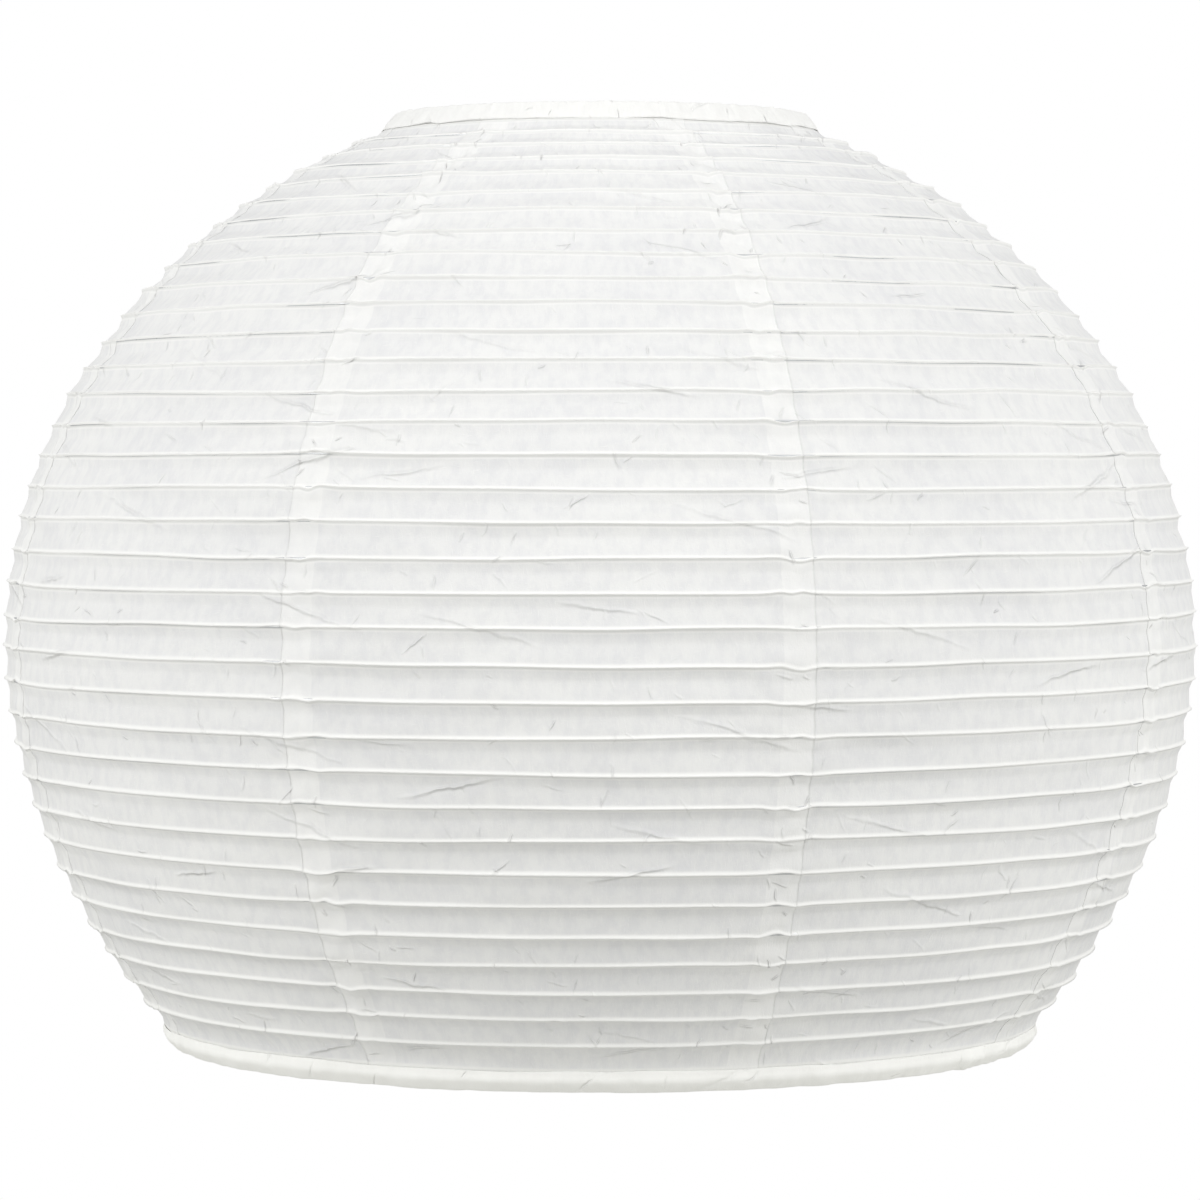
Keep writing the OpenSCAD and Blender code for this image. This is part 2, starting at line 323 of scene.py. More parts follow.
def paper_surface(turn, level, lift, paper):
    """Points of the paper: the meridian's point pushed out along its normal by the lift and the paper's
    offset, carried round by the angle, and moved up or down with the two ribs nearest to it. Beside a seam it
    is pulled a little up or down as well, by a noise. Levels past an end go straight on along the paper."""
    held = np.clip(level, 0, LAST_RIB)
    point, normal = meridian(held)
    push = lift + paper_offset(turn, held, paper)
    upper = np.clip(np.floor(held), 0, LAST_RIB - 1)
    share = held - upper
    stray = rib_wave(turn, upper, paper.wave) * (1 - share) + rib_wave(turn, upper + 1, paper.wave) * share
    ends = np.clip(np.minimum(held, LAST_RIB - held) / 1.5, 0, 1)
    pull = paper_noise(turn, held * RIB_STEP, 0.008, PUCKER_SEED)
    stray = stray + paper.pucker * near_seam(turn, paper, 0.008) * ends * pull
    beyond = (level - held) * RIB_STEP
    r = point[..., 0] + push * normal[..., 0] + beyond * normal[..., 1]
    z = point[..., 1] + push * normal[..., 1] - beyond * normal[..., 0] + stray
    return np.stack([r * np.cos(turn), r * np.sin(turn), z], axis=-1)


# ---- Meshes from grids ----

def grid_faces(rows, columns, start=0, around=False, flip=False):
    """Quads of a grid of rows by columns points. around joins the last column to the first."""
    i = np.arange(rows - 1)[:, None]
    j = np.arange(columns if around else columns - 1)[None, :]
    k = (j + 1) % columns
    here, below = i * columns, (i + 1) * columns
    quads = np.stack([here + j, here + k, below + k, below + j], axis=-1).reshape(-1, 4) + start
    return quads[:, ::-1] if flip else quads


def edge_loop(rows, columns):
    """The border of a grid as point numbers, in order, once round."""
    top = np.arange(columns)
    right = np.arange(1, rows) * columns + columns - 1
    bottom = (rows - 1) * columns + np.arange(columns - 1)[::-1]
    left = np.arange(1, rows - 1)[::-1] * columns
    return np.concatenate([top, right, bottom, left])


def new_piece(name, points, quads, corner_uv=None, point_values=None):
    """A smooth object at the origin from arrays of points and quads, with a UV map and attributes."""
    mesh = bpy.data.meshes.new(name)
    mesh.vertices.add(len(points))
    mesh.vertices.foreach_set("co", points.astype(np.float32).ravel())
    mesh.loops.add(quads.size)
    mesh.loops.foreach_set("vertex_index", quads.astype(np.int32).ravel())
    mesh.polygons.add(len(quads))
    mesh.polygons.foreach_set("loop_start", np.arange(0, quads.size, 4, dtype=np.int32))
    mesh.polygons.foreach_set("use_smooth", np.ones(len(quads), bool))
    mesh.update(calc_edges=True)
    if corner_uv is not None:
        layer = mesh.uv_layers.new(name="paper")
        layer.data.foreach_set("uv", corner_uv[quads.ravel()].astype(np.float32).ravel())
    for key, values in (point_values or {}).items():
        mesh.attributes.new(key, "FLOAT", "POINT").data.foreach_set("value", values.astype(np.float32))
    mesh.validate()
    piece = bpy.data.objects.new(name, mesh)
    bpy.context.scene.collection.objects.link(piece)
    return piece


def gore_levels():
    """Levels of a gore's rows: the band profile's places in every band, and a tuck past both ends."""
    levels = (np.arange(LAST_RIB)[:, None] + BAND_SHARE[:-1]).ravel()
    return np.concatenate([[-TOP_TUCK], levels, [LAST_RIB, LAST_RIB + BOTTOM_TUCK]])


def gore_mesh(number, paper):
    """One gore as a closed shell: its outer face, an inner face one thickness below, and a strip round the
    edge. The angles at each level reach half a lap beyond the seams on both sides, closer together near the
    seams. Even gores lie on top, with their edges pasted down; odd ones lie one layer lower. The attributes
    are the distances from the nearest seam, from the nearest rib, and down from the rib above."""
    levels = gore_levels()
    radius = meridian(np.clip(levels, 0, LAST_RIB))[0][:, 0]
    first = paper.seam_turn + (number - 1) * GORE_TURN
    spare = np.arcsin(paper.lap / 2 / radius)
    even = np.linspace(0, 1, paper.columns + 1)
    share = even - SEAM_CROWDING * np.sin(2 * math.pi * even)
    turn = (first - spare)[:, None] + (GORE_TURN + 2 * spare)[:, None] * share
    level = np.broadcast_to(levels[:, None], turn.shape)
    if number % 2 == 0:
        to_edge = np.minimum(share, 1 - share) * (GORE_TURN * radius[:, None] + paper.lap)
        under = PASTE_PRESS * paper.layer_gap * np.clip(1 - to_edge / PASTE_WIDTH, 0, 1)
    else:
        under = paper.thickness + paper.layer_gap
    outer = paper_surface(turn, level, paper.lift - under, paper)
    inner = paper_surface(turn, level, paper.lift - under - paper.thickness, paper)
    rows, columns = turn.shape
    count = rows * columns
    rim = edge_loop(rows, columns)
    following = np.roll(rim, -1)
    edge = np.stack([rim, rim + count, following + count, following], axis=-1)
    quads = np.concatenate([grid_faces(rows, columns, flip=True), grid_faces(rows, columns, count), edge])
    points = np.concatenate([outer.reshape(-1, 3), inner.reshape(-1, 3)])
    uv = np.stack([turn * PAPER_ROUND, -level * RIB_STEP], axis=-1).reshape(-1, 2)
    distances = {
        "seam": np.abs(seam_distance(turn, radius[:, None], paper.seam_turn)),
        "rib": np.abs(level - np.round(level)) * RIB_STEP,
        "below": (level - np.floor(level)) * RIB_STEP,
    }
    both_faces = {key: np.tile(values.ravel(), 2) for key, values in distances.items()}
    return new_piece(f"paper_gore_{number}", points, quads, np.tile(uv, (2, 1)), both_faces)


def rib_mesh(number, paper):
    """A rib's wire: a circle carried round its hoop, which strays up and down with the paper over it."""
    radius, height, wire = RIB_RINGS[number]
    turn = np.linspace(0, 2 * math.pi, RIB_STATIONS, endpoint=False)[:, None]
    spin = np.linspace(0, 2 * math.pi, RIB_SIDES, endpoint=False)[None, :]
    r = radius + wire * np.cos(spin) + 0 * turn
    z = height + wire * np.sin(spin) + rib_wave(turn, np.full_like(turn, number), paper.wave)
    points = np.stack([r * np.cos(turn), r * np.sin(turn), z], axis=-1).reshape(-1, 3)
    i = np.arange(RIB_STATIONS)[:, None]
    j = np.arange(RIB_SIDES)[None, :]
    here = i * RIB_SIDES
    ahead = (i + 1) % RIB_STATIONS * RIB_SIDES
    after = (j + 1) % RIB_SIDES
    quads = np.stack([here + j, ahead + j, ahead + after, here + after], axis=-1).reshape(-1, 4)
    return new_piece(f"wire_{RIBS[number]}", points, quads)


def hem_line(wire, tail, loop):
    """Middle line of a strip folded round a rim's wire, in (r, z): from one free edge straight to the loop,
    round the far side of the wire, and back to the other free edge beside the first."""
    away = wire - tail
    heading = math.atan2(away[1], away[0])
    lean = math.asin(min(1, loop / np.linalg.norm(away)))
    bend = np.linspace(heading + lean + math.pi / 2, heading - lean - math.pi / 2, HEM_BEND_POINTS)
    arc = wire + loop * np.stack([np.cos(bend), np.sin(bend)], axis=-1)
    side = np.array([-math.sin(heading), math.cos(heading)])
    share = np.linspace(0, 1, HEM_FLAT_POINTS)[:-1, None]
    out = (tail + side * HEM_SPREAD) * (1 - share) + arc[0] * share
    back = ((tail - side * HEM_SPREAD) * (1 - share) + arc[-1] * share)[::-1]
    return np.concatenate([out, arc, back])


def hem_swell(turn, from_fold, down, paper, seed, outer, bulge):
    """How far a hem's outer layer swells: a bulge that is highest towards the free edge, and ripples that are
    larger near the one crumpled place. from_fold is 0 at the fold, and -1 and 1 at the two free edges."""
    outside = np.clip(from_fold * outer * 4, 0, 1)
    free = np.clip((1 - np.abs(from_fold)) / 0.25, 0, 1)
    from_spot = (turn - HEM_CRUMPLE + math.pi) % (2 * math.pi) - math.pi
    spot = 1 + 2.2 * np.exp(-(from_spot / 0.05) ** 2)
    ripple = paper_noise(turn, down, 0.011, seed, octaves=3, stretch=0.9)
    ripple = ripple + 0.5 * paper_noise(turn, down * 0.4, 0.006, seed + 5)
    rounded = bulge * np.sin(math.pi * np.abs(from_fold) ** 1.8)
    return outside * free * (rounded + paper.crinkle * spot * (0.5 + ripple))


def hem_mesh(name, wire, tail, loop, paper, seed, outer, bulge):
    """A hem as a closed shell: its middle line given a thickness and carried round. The outer layer, which
    is the strip's first half if outer is -1 and its second half if 1, swells. The free edges are pressed thin
    and wander a little."""
    line = hem_line(np.array(wire), np.array(tail), loop)
    along = np.gradient(line, axis=0)
    along /= np.linalg.norm(along, axis=1, keepdims=True)
    normal = np.stack([-along[:, 1], along[:, 0]], axis=-1)
    path = np.concatenate([[0], np.cumsum(np.linalg.norm(np.diff(line, axis=0), axis=1))])
    turn = np.linspace(0, 2 * math.pi, HEM_STATIONS, endpoint=False)[None, :]
    from_fold = ((path - path.mean()) / path.mean())[:, None]
    down = np.abs(from_fold) * path.mean()
    swell = hem_swell(turn, from_fold, down, paper, seed, outer, bulge)
    wander = HEM_WANDER * paper_noise(turn, 0.05 + 0 * down, 0.03, seed + 9, octaves=3)
    slide = np.sign(from_fold) * np.clip(np.abs(from_fold) * 3 - 2, 0, 1) * wander
    thin = 0.25 + 0.75 * np.clip((1 - np.abs(from_fold)) / 0.2, 0, 1)
    shells = []
    for half in (paper.thickness / 2, -paper.thickness / 2):
        push = half * thin + swell
        r = line[:, :1] + normal[:, :1] * push + along[:, :1] * slide
        z = line[:, 1:] + normal[:, 1:] * push + along[:, 1:] * slide
        shells.append(np.stack([r * np.cos(turn), r * np.sin(turn), z], axis=-1).reshape(-1, 3))
    rows = len(line)
    size = rows * HEM_STATIONS
    base = size - HEM_STATIONS
    j = np.arange(HEM_STATIONS)
    k = (j + 1) % HEM_STATIONS
    quads = np.concatenate([
        grid_faces(rows, HEM_STATIONS, around=True),
        grid_faces(rows, HEM_STATIONS, size, around=True, flip=True),
        np.stack([j + size, k + size, k, j], axis=-1),
        np.stack([base + j, base + k, base + k + size, base + j + size], axis=-1),
    ])
    uv = np.stack([turn * PAPER_ROUND + 0 * down, path[:, None] + 0 * turn], axis=-1).reshape(-1, 2)
    return new_piece(name, np.concatenate(shells), quads, np.tile(uv, (2, 1)))


# ---- Shader nodes ----

def group_with(name, inputs, outputs):
    """A new shader node group with float or vector inputs and float outputs, and its two end nodes."""
    group = bpy.data.node_groups.new(name, "ShaderNodeTree")
    for socket, kind, value in inputs:
        made = group.interface.new_socket(socket, in_out="INPUT", socket_type=kind)
        if value is not None:
            made.default_value = value
    for socket in outputs:
        group.interface.new_socket(socket, in_out="OUTPUT", socket_type="NodeSocketFloat")
    return group, group.nodes.new("NodeGroupInput"), group.nodes.new("NodeGroupOutput")


def add(tree, kind, **settings):
    """A node of a kind, with its own properties set."""
    node = tree.nodes.new(kind)
    for key, value in settings.items():
        setattr(node, key, value)
    return node


def feed(tree, value, socket):
    """Links a socket to an input, or sets the input's own value."""
    if isinstance(value, bpy.types.NodeSocket):
        tree.links.new(value, socket)
    else:
        socket.default_value = value


def math_node(tree, operation, a, b=None, clamp=False):
    """A Math node on sockets or numbers; returns its output."""
    node = add(tree, "ShaderNodeMath", operation=operation, use_clamp=clamp)
    feed(tree, a, node.inputs[0])
    if b is not None:
        feed(tree, b, node.inputs[1])
    return node.outputs[0]


def plus(tree, a, b):
    """a + b."""
    return math_node(tree, "ADD", a, b)


def minus(tree, a, b):
    """a - b."""
    return math_node(tree, "SUBTRACT", a, b)


def times(tree, a, b):
    """a times b."""
    return math_node(tree, "MULTIPLY", a, b)


def over(tree, a, b):
    """a divided by b."""
    return math_node(tree, "DIVIDE", a, b)


def vector_node(tree, operation, a, b):
    """A Vector Math node on two vectors; returns its output."""
    node = add(tree, "ShaderNodeVectorMath", operation=operation)
    feed(tree, a, node.inputs[0])
    feed(tree, b, node.inputs[1])
    return node.outputs[0]


def scaled(tree, vector, scale):
    """A vector times a number."""
    node = add(tree, "ShaderNodeVectorMath", operation="SCALE")
    tree.links.new(vector, node.inputs[0])
    tree.links.new(scale, node.inputs["Scale"])
    return node.outputs[0]


def split(tree, vector):
    """A vector's parts, as three sockets."""
    node = add(tree, "ShaderNodeSeparateXYZ")
    tree.links.new(vector, node.inputs[0])
    return node.outputs


def ramp(tree, source, low, high):
    """A smooth step from 0 at low to 1 at high."""
    node = add(tree, "ShaderNodeMapRange", interpolation_type="SMOOTHSTEP")
    node.inputs["From Min"].default_value = low
    node.inputs["From Max"].default_value = high
    tree.links.new(source, node.inputs["Value"])
    return node.outputs[0]


def noise(tree, vector, scale, detail=2.0, roughness=0.5, distortion=0.0):
    """A Noise Texture on a vector; returns its value."""
    node = add(tree, "ShaderNodeTexNoise")
    node.inputs["Scale"].default_value = scale
    node.inputs["Detail"].default_value = detail
    node.inputs["Roughness"].default_value = roughness
    node.inputs["Distortion"].default_value = distortion
    tree.links.new(vector, node.inputs["Vector"])
    return node.outputs[0]


def turned(tree, vector, angle, stretch):
    """A vector turned in its plane and then multiplied by stretch, for a grain that runs one way."""
    node = add(tree, "ShaderNodeMapping")
    node.inputs["Rotation"].default_value = (0, 0, angle)
    tree.links.new(vector, node.inputs["Vector"])
    return vector_node(tree, "MULTIPLY", node.outputs[0], stretch)


def attribute(tree, name):
    """A piece's own attribute, as a number."""
    return add(tree, "ShaderNodeAttribute", attribute_name=name).outputs["Fac"]


def mixed(tree, factor, a, b):
    """Colour a where the factor is 0 and b where it is 1. a and b are colours or sockets."""
    node = add(tree, "ShaderNodeMix", data_type="RGBA")
    tree.links.new(factor, node.inputs["Factor"])
    for name, value in (("A", a), ("B", b)):
        place = next(i for i in node.inputs if i.name == name and i.type == "RGBA")
        feed(tree, value if isinstance(value, bpy.types.NodeSocket) else (*value, 1), place)
    return next(o for o in node.outputs if o.type == "RGBA")


def bumped(tree, shader, height, strength, distance):
    """Gives a shader the relief of a height."""
    bump = add(tree, "ShaderNodeBump")
    bump.inputs["Strength"].default_value = strength
    bump.inputs["Distance"].default_value = distance
    tree.links.new(height, bump.inputs["Height"])
    tree.links.new(bump.outputs[0], shader.inputs["Normal"])


# ---- Shader node groups ----

def crease_group():
    """Straight creases scattered over a vector in metres, one to a cell of a stretched Voronoi pattern. Each
    cell's random colour sets whether it has a crease and the crease's slant, length and height. Height is a
    ridge: a bell across the line times a smooth bump along it."""
    number = "NodeSocketFloat"
    group, start, end = group_with("creases", [
        ("Vector", "NodeSocketVector", None), ("Cells", number, 25.0), ("Slant", number, 0.3),
        ("Spread", number, 0.2), ("Length", number, 0.02), ("Width", number, 0.0005), ("Share", number, 0.5),
    ], ["Height"])
    given = start.outputs
    narrow = 0.55
    bend = add(group, "ShaderNodeTexNoise")
    bend.inputs["Scale"].default_value = 120
    group.links.new(given["Vector"], bend.inputs["Vector"])
    sway = vector_node(group, "MULTIPLY", bend.outputs["Color"], (0.0035, 0.0035, 0))
    bent = vector_node(group, "ADD", sway, given["Vector"])
    sized = scaled(group, vector_node(group, "MULTIPLY", bent, (narrow, 1, 0)), given["Cells"])
    cell = add(group, "ShaderNodeTexVoronoi", voronoi_dimensions="2D")
    cell.inputs["Scale"].default_value = 1
    group.links.new(sized, cell.inputs["Vector"])
    offset = split(group, vector_node(group, "SUBTRACT", sized, cell.outputs["Position"]))
    chance = split(group, cell.outputs["Color"])
    x = over(group, over(group, offset[0], narrow), given["Cells"])
    y = over(group, offset[1], given["Cells"])
    swing = times(group, minus(group, chance[0], 0.5), given["Spread"])
    falls_right = math_node(group, "LESS_THAN", chance[1], 0.72)
    side = minus(group, times(group, falls_right, 2), 1)
    angle = times(group, plus(group, swing, given["Slant"]), side)
    cos = math_node(group, "COSINE", angle)
    sin = math_node(group, "SINE", angle)
    along = minus(group, times(group, x, cos), times(group, y, sin))
    off = plus(group, times(group, x, sin), times(group, y, cos))
    reach = times(group, given["Length"], plus(group, times(group, chance[0], 0.6), 0.4))
    part = over(group, along, reach)
    bump = math_node(group, "SUBTRACT", 1, times(group, part, part), clamp=True)
    across = over(group, off, given["Width"])
    bell = math_node(group, "EXPONENT", times(group, times(group, across, across), -1))
    chosen = math_node(group, "LESS_THAN", chance[2], given["Share"])
    strength = times(group, chosen, plus(group, times(group, chance[1], 0.6), 0.4))
    group.links.new(times(group, times(group, bump, bell), strength), end.inputs["Height"])
    return group


def washi_group():
    """Rice paper's own look over a vector in metres. Cloud is where the sheet is thin; Fibre is fine hairs
    and flecks that mostly run down the sheet; Tooth is the height of the paper's grain."""
    group, start, end = group_with("rice_paper", [("Vector", "NodeSocketVector", None)],
                                   ["Cloud", "Fibre", "Tooth"])
    vector = start.outputs["Vector"]
    broad = noise(group, vector, 18, 3)
    patch = noise(group, turned(group, vector, 0, (1, 0.5, 1)), 210, 4, 0.62)
    cloud = plus(group, times(group, ramp(group, broad, 0.35, 0.7), 0.4),
                 times(group, ramp(group, patch, 0.38, 0.66), 0.6))
    hair = noise(group, turned(group, vector, 1.45, (1, 9, 1)), 260, 3, 0.6, 0.6)
    hair_across = noise(group, turned(group, vector, -0.2, (1, 7, 1)), 300, 2, 0.6, 0.8)
    fibre = math_node(group, "MAXIMUM", ramp(group, hair, 0.57, 0.74), ramp(group, hair_across, 0.6, 0.78))
    fine = noise(group, vector, 1500, 3, 0.6)
    grain = plus(group, times(group, fine, 0.05), times(group, patch, 0.26))
    tooth = plus(group, grain, times(group, fibre, 0.03))
    group.links.new(cloud, end.inputs["Cloud"])
    group.links.new(fibre, end.inputs["Fibre"])
    group.links.new(tooth, end.inputs["Tooth"])
    return group


def wear_group():
    """Small scuffs and dust over a vector in metres. Mark is 1 where the finish is marked; Height is its
    tooth."""
    group, start, end = group_with("scuffs", [
        ("Vector", "NodeSocketVector", None), ("Scale", "NodeSocketFloat", 1.0),
    ], ["Mark", "Height"])
    sized = scaled(group, start.outputs["Vector"], start.outputs["Scale"])
    coarse = noise(group, sized, 120, 4, 0.6)
    fine = noise(group, sized, 900, 3, 0.6)
    mark = times(group, ramp(group, coarse, 0.52, 0.7), ramp(group, fine, 0.45, 0.7))
    group.links.new(mark, end.inputs["Mark"])
    group.links.new(fine, end.inputs["Height"])
    return group


def placed_group(tree, name, make, **values):
    """The node group of that name, made the first time, placed in a material with its inputs set or linked.
    Returns its outputs."""
    node = tree.nodes.new("ShaderNodeGroup")
    node.node_tree = bpy.data.node_groups.get(name) or make()
    for key, value in values.items():
        feed(tree, value, node.inputs[key])
    return node.outputs


# ---- Materials ----

def new_material(name):
    """A material of a Principled BSDF and an output. Returns it, its tree and the shader."""
    material = bpy.data.materials.new(name)
    material.use_nodes = True
    tree = material.node_tree
    shader = next(n for n in tree.nodes if n.type == "BSDF_PRINCIPLED")
    return material, tree, shader


def gore_colour(tree, look, seam, colours, lap):
    """Colour of a gore: the single sheet is cloudy and flecked with fibres, and the doubled lap beside a seam
    is paler. Each rib has a paler pasted line, which is also a painted highlight on its ridge, and just under
    it a greyer line of painted shadow."""
    lap_edge = 0.0003
    single = ramp(tree, seam, lap / 2 - lap_edge, lap / 2 + lap_edge)
    sheet = mixed(tree, look["Cloud"], colours.paper, colours.cloud)
    sheet = mixed(tree, times(tree, look["Fibre"], 0.35), sheet, colours.lap)
    doubled = mixed(tree, times(tree, look["Cloud"], 0.4), colours.lap, colours.paper)
    colour = mixed(tree, plus(tree, times(tree, single, 0.5), 0.5), doubled, sheet)
    # The paler pasted line within about 2 mm of each rib is also a painted highlight along the rib's ridge
    pasted = minus(tree, 1, ramp(tree, attribute(tree, "rib"), 0.0006, 0.0019))
    colour = mixed(tree, pasted, colour, colours.lap)
    # Painted shadow: a greyer line from about 0.1 to 1.3 mm below each rib, where the rib's underside is in
    # shade
    below = attribute(tree, "below")
    line = times(tree, ramp(tree, below, 0.0001, 0.0005),
                 minus(tree, 1, ramp(tree, below, 0.0007, 0.0013)))
    return mixed(tree, times(tree, line, 0.2), colour, colours.painted_rib_shadow)


def crease_relief(tree, vector, crowded):
    """Height of the creases: long slanting ones all over, and short ones turned every way where crowded."""
    long = placed_group(tree, "creases", crease_group, Vector=vector, Cells=25.0, Slant=0.26, Spread=0.3,
                        Length=0.026, Width=0.0008, Share=0.9)
    short = placed_group(tree, "creases", crease_group, Vector=vector, Cells=70.0, Slant=0.5, Spread=1.3,
                         Length=0.007, Width=0.0005, Share=0.6)
    tiny = placed_group(tree, "creases", crease_group, Vector=vector, Cells=130.0, Slant=1.2, Spread=1.6,
                        Length=0.0035, Width=0.0004, Share=0.45)
    small = times(tree, plus(tree, short["Height"], tiny["Height"]), crowded)
    return plus(tree, times(tree, long["Height"], 0.8), times(tree, small, 0.7))


def paper_material(name, colours, lap, hem=None):
    """Rice paper, for the gores, or for a hem of one colour if hem is given. Short creases crowd in patches,
    and beside the seams of the gores."""
    material, tree, shader = new_material(name)
    vector = add(tree, "ShaderNodeUVMap", uv_map="paper").outputs[0]
    look = placed_group(tree, "rice_paper", washi_group, Vector=vector)
    crowded = ramp(tree, noise(tree, vector, 28), 0.44, 0.6)
    if hem:
        colour = mixed(tree, look["Cloud"], hem, tuple(c * 0.97 for c in hem))
    else:
        seam = attribute(tree, "seam")
        colour = gore_colour(tree, look, seam, colours, lap)
        by_seam = minus(tree, 1, ramp(tree, seam, 0.004, 0.018))
        crowded = math_node(tree, "MAXIMUM", times(tree, crowded, 0.8), by_seam)
    tree.links.new(colour, shader.inputs["Base Color"])
    rough = plus(tree, times(tree, look["Fibre"], -0.08), 0.86)
    tree.links.new(rough, shader.inputs["Roughness"])
    height = plus(tree, crease_relief(tree, vector, crowded), look["Tooth"])
    bumped(tree, shader, height, 1.0, 0.001)
    shader.inputs["Specular IOR Level"].default_value = 0.2
    return material


def metal_material(name, colour, metallic, roughness, scale):
    """Drawn wire or painted steel: an even colour, dulled and roughened where scuffed."""
    material, tree, shader = new_material(name)
    place = add(tree, "ShaderNodeTexCoord").outputs["Object"]
    look = placed_group(tree, "scuffs", wear_group, Vector=place, Scale=scale)
    dull = tuple(c * 0.72 for c in colour)
    tree.links.new(mixed(tree, look["Mark"], tuple(colour), dull), shader.inputs["Base Color"])
    rough = plus(tree, times(tree, look["Mark"], 0.25), roughness)
    tree.links.new(rough, shader.inputs["Roughness"])
    shader.inputs["Metallic"].default_value = metallic
    bumped(tree, shader, look["Height"], 0.15, 0.0002)
    return material


def shared_material(name, make, *args):
    """The material of that name, made the first time it is asked for."""
    return bpy.data.materials.get(name) or make(name, *args)


def wire_material(colours):
    """Drawn steel of the ribs and the rims."""
    return shared_material("drawn_wire", metal_material, colours.wire, 0.9, 0.42, 1.0)


def dress(piece, material):
    """Gives a piece or a CAD node one material."""
    piece.data.materials.clear()
    piece.data.materials.append(material)
    return piece


# ---- Operators, one for each piece or group of like pieces ----

class LANTERN_OT_gores(bpy.types.Operator):
    """Build the eight lapped paper gores"""
    bl_idname = "lantern.gores"
    bl_label = "Paper gores"

    def execute(self, context):
        paper, colours = context.scene.lantern_paper, context.scene.lantern_colours
        material = shared_material("washi", paper_material, colours, paper.lap)
        for number, node in enumerate(GORES, start=1):
            piece = dress(gore_mesh(number, paper), material)
            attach(piece, "frame")
            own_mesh(piece)
            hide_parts(node)
        return {"FINISHED"}


class LANTERN_OT_ribs(bpy.types.Operator):
    """Build the wire rib hoops"""
    bl_idname = "lantern.ribs"
    bl_label = "Wire ribs"

    def execute(self, context):
        paper, colours = context.scene.lantern_paper, context.scene.lantern_colours
        for number, node in enumerate(RIBS):
            piece = dress(rib_mesh(number, paper), wire_material(colours))
            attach(piece, frame["nodes"][node]["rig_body"])
            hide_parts(node)
        return {"FINISHED"}


class LANTERN_OT_hems(bpy.types.Operator):
    """Build the folded paper hem round each rim, and finish the rim wires inside them"""
    bl_idname = "lantern.hems"
    bl_label = "Hems and rims"

    def execute(self, context):
        paper, colours = context.scene.lantern_paper, context.scene.lantern_colours
        point, normal = meridian(np.array([0.0, float(LAST_RIB)]))
        clear = paper.lift + HEM_GAP + HEM_SPREAD + paper.thickness / 8
        for name, ring, end, body, seed, outer, bulge, colour in (
            ("top_hem", TOP_RIM, 0, "frame", TOP_HEM_SEED, 1, 0.0002, tuple(colours.lap)),
            ("bottom_hem", BOTTOM_RIM, 1, "bottom_rim", BOTTOM_HEM_SEED, -1, 0.0016, tuple(colours.hem)),
        ):
            tail = point[end] + clear * normal[end]
            loop = ring[2] + paper.thickness
            piece = hem_mesh(f"paper_{name}", ring[:2], tail, loop, paper, seed, outer, bulge)
            dress(piece, shared_material(f"washi_{name}", paper_material, colours, paper.lap, colour))
            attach(piece, body)
            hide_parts(name)
        for node in ("top_rim_wire", "bottom_rim_wire"):
            dress(frame["nodes"][node], wire_material(colours))
        return {"FINISHED"}


class LANTERN_OT_expander(bpy.types.Operator):
    """Finish the expander's rings and legs"""
    bl_idname = "lantern.expander"
    bl_label = "Expander"

    def execute(self, context):
        colours = context.scene.lantern_colours
        paint = shared_material("white_paint", metal_material, colours.paint, 0.0, 0.38, 1.5)
        for node in ("socket_ring", "swivel_ring", "fixed_leg_left", "fixed_leg_right", "swivel_leg_front",
                     "swivel_leg_back"):
            dress(frame["nodes"][node], paint)
        return {"FINISHED"}


def build_floor(stage):
    """A square floor below the shade, a little paler to the camera than the light makes it."""
    side = stage.floor_side
    floor_z = float(CAD_BOX[0].z) - stage.drop
    corners = np.array([[-side, -side, floor_z], [side, -side, floor_z], [side, side, floor_z],
                        [-side, side, floor_z]])
    floor = new_piece("floor", corners, np.array([[0, 1, 2, 3]]))
    material, tree, shader = new_material("pale_floor")
    shader.inputs["Base Color"].default_value = (0.84, 0.84, 0.80, 1)
    shader.inputs["Roughness"].default_value = 0.9
    shader.inputs["Emission Color"].default_value = (1, 1, 0.98, 1)
    seen = add(tree, "ShaderNodeLightPath").outputs["Is Camera Ray"]
    tree.links.new(times(tree, seen, stage.floor_lift), shader.inputs["Emission Strength"])
    dress(floor, material)


def build_sky(scene, stage):
    """A world that is white to the camera, and lights the shade at the sky's strength."""
    world = bpy.data.worlds.new("studio")
    world.use_nodes = True
    tree = world.node_tree
    sky = tree.nodes["Background"]
    sky.inputs["Color"].default_value = (1, 1, 1, 1)
    seen = add(tree, "ShaderNodeLightPath").outputs["Is Camera Ray"]
    strength = plus(tree, times(tree, seen, 1 - stage.sky), stage.sky)
    tree.links.new(strength, sky.inputs["Strength"])
    scene.world = world


def aimed(scene, data, place, aim):
    """An object at a place, turned to look at a height on the axis."""
    thing = bpy.data.objects.new(data.name, data)
    thing.location = place
    thing.rotation_mode = "QUATERNION"
    thing.rotation_quaternion = (Vector((0, 0, aim)) - Vector(place)).to_track_quat("-Z", "Y")
    scene.collection.objects.link(thing)
    return thing


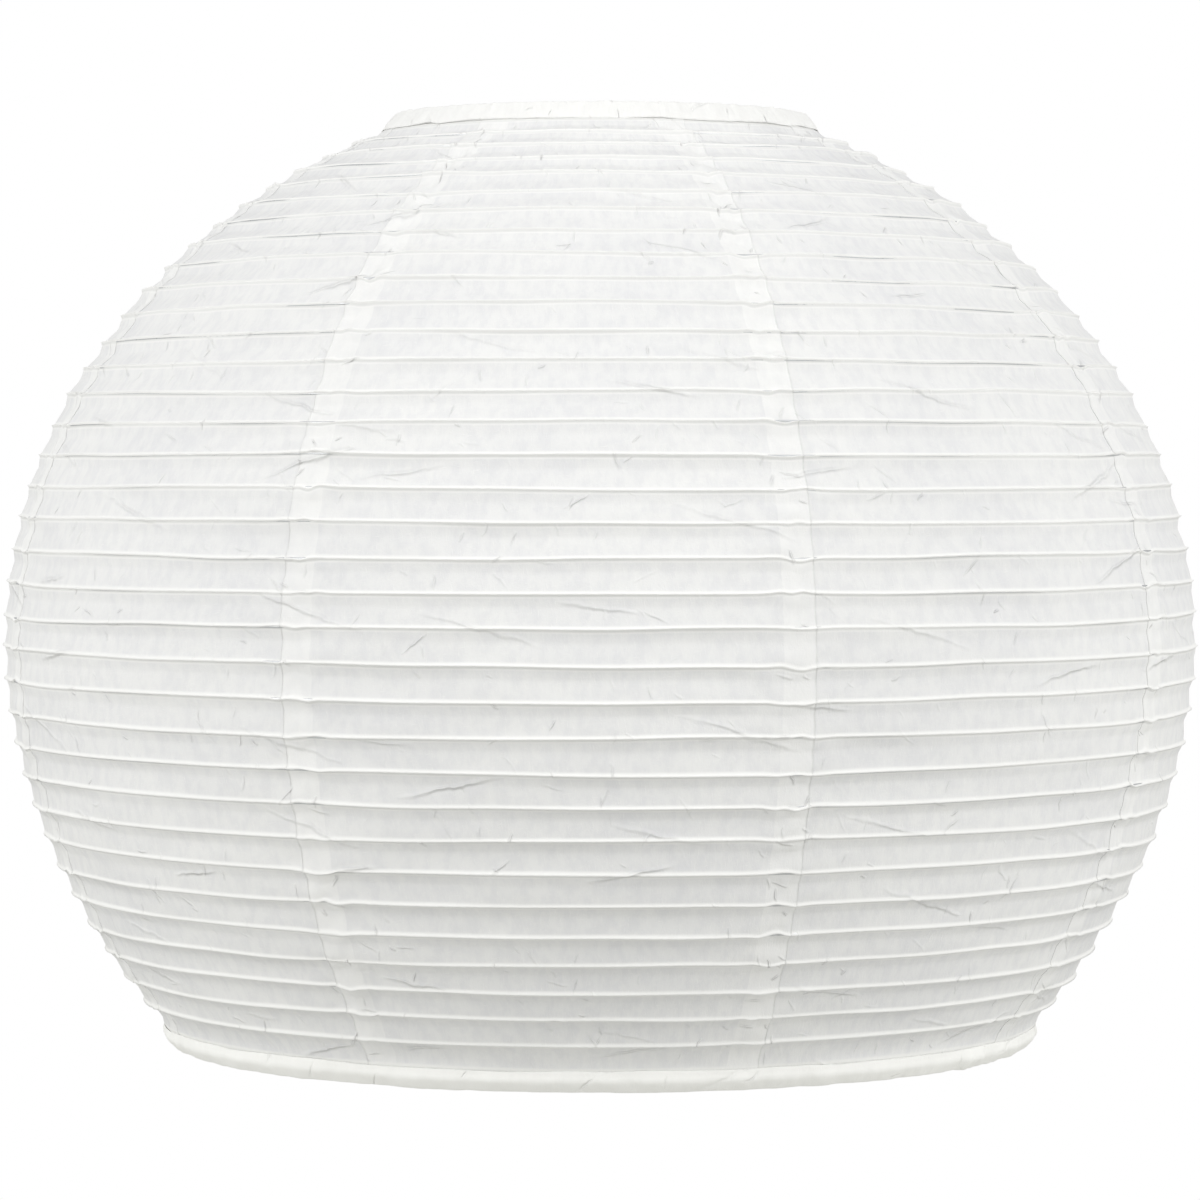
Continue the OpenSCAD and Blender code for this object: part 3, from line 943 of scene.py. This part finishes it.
def build_lights(scene, stage):
    """A wide panel overhead and a light at each side. A side light's power is its brightness times the square
    of pi times its distance; the panel's is its brightness times pi times its area."""
    panel_side = 6
    key_side = 1.6
    key_power = stage.key * (math.pi * 2.52) ** 2
    for name, place, side, power in (
        ("overhead", (0, 0, 2.3), panel_side, stage.overhead * panel_side ** 2 * math.pi),
        ("left_key", (-1.9, -1.31, 0.81), key_side, key_power),
        ("right_key", (1.9, -1.31, 0.81), key_side, key_power),
    ):
        data = bpy.data.lights.new(name, "AREA")
        data.shape = "SQUARE"
        data.size = side
        data.energy = power
        aimed(scene, data, place, stage.aim)


class LANTERN_OT_stage(bpy.types.Operator):
    """Build the pale floor, the soft lights and the camera"""
    bl_idname = "lantern.stage"
    bl_label = "Studio stage"

    def execute(self, context):
        scene, stage = context.scene, context.scene.lantern_stage
        build_floor(stage)
        build_sky(scene, stage)
        build_lights(scene, stage)
        data = bpy.data.cameras.new("camera")
        data.lens = stage.lens
        data.sensor_width = 36.0
        scene.camera = aimed(scene, data, (0, -stage.distance, stage.eye), stage.aim)
        scene.view_settings.view_transform = "Standard"
        return {"FINISHED"}


class LANTERN_PT_panel(bpy.types.Panel):
    """Lists the shade's sizes and the operators that build it"""
    bl_idname = "LANTERN_PT_panel"
    bl_label = "Paper Lantern"
    bl_space_type = "VIEW_3D"
    bl_region_type = "UI"
    bl_category = "Lantern"

    def draw(self, context):
        scene = context.scene
        for group in (scene.lantern_paper, scene.lantern_colours, scene.lantern_stage):
            box = self.layout.box()
            for key in group.__annotations__:
                box.prop(group, key)
        for step in STEPS:
            self.layout.operator(step.bl_idname)


STEPS = (LANTERN_OT_stage, LANTERN_OT_gores, LANTERN_OT_ribs, LANTERN_OT_hems, LANTERN_OT_expander)
GROUPS = {"lantern_paper": PaperSizes, "lantern_colours": PaperColours, "lantern_stage": StageSizes}


def register():
    """Adds the classes to Blender and the property groups to the scene."""
    for cls in (*GROUPS.values(), *STEPS, LANTERN_PT_panel):
        bpy.utils.register_class(cls)
    for name, cls in GROUPS.items():
        setattr(bpy.types.Scene, name, PointerProperty(type=cls))


def unregister():
    """Takes the property groups and the classes away again."""
    for name in GROUPS:
        delattr(bpy.types.Scene, name)
    for cls in (LANTERN_PT_panel, *reversed(STEPS), *reversed(GROUPS.values())):
        bpy.utils.unregister_class(cls)


def main():
    register()
    for step in STEPS:
        area, name = step.bl_idname.split(".")
        getattr(getattr(bpy.ops, area), name)()


if __name__ == "__main__":
    main()
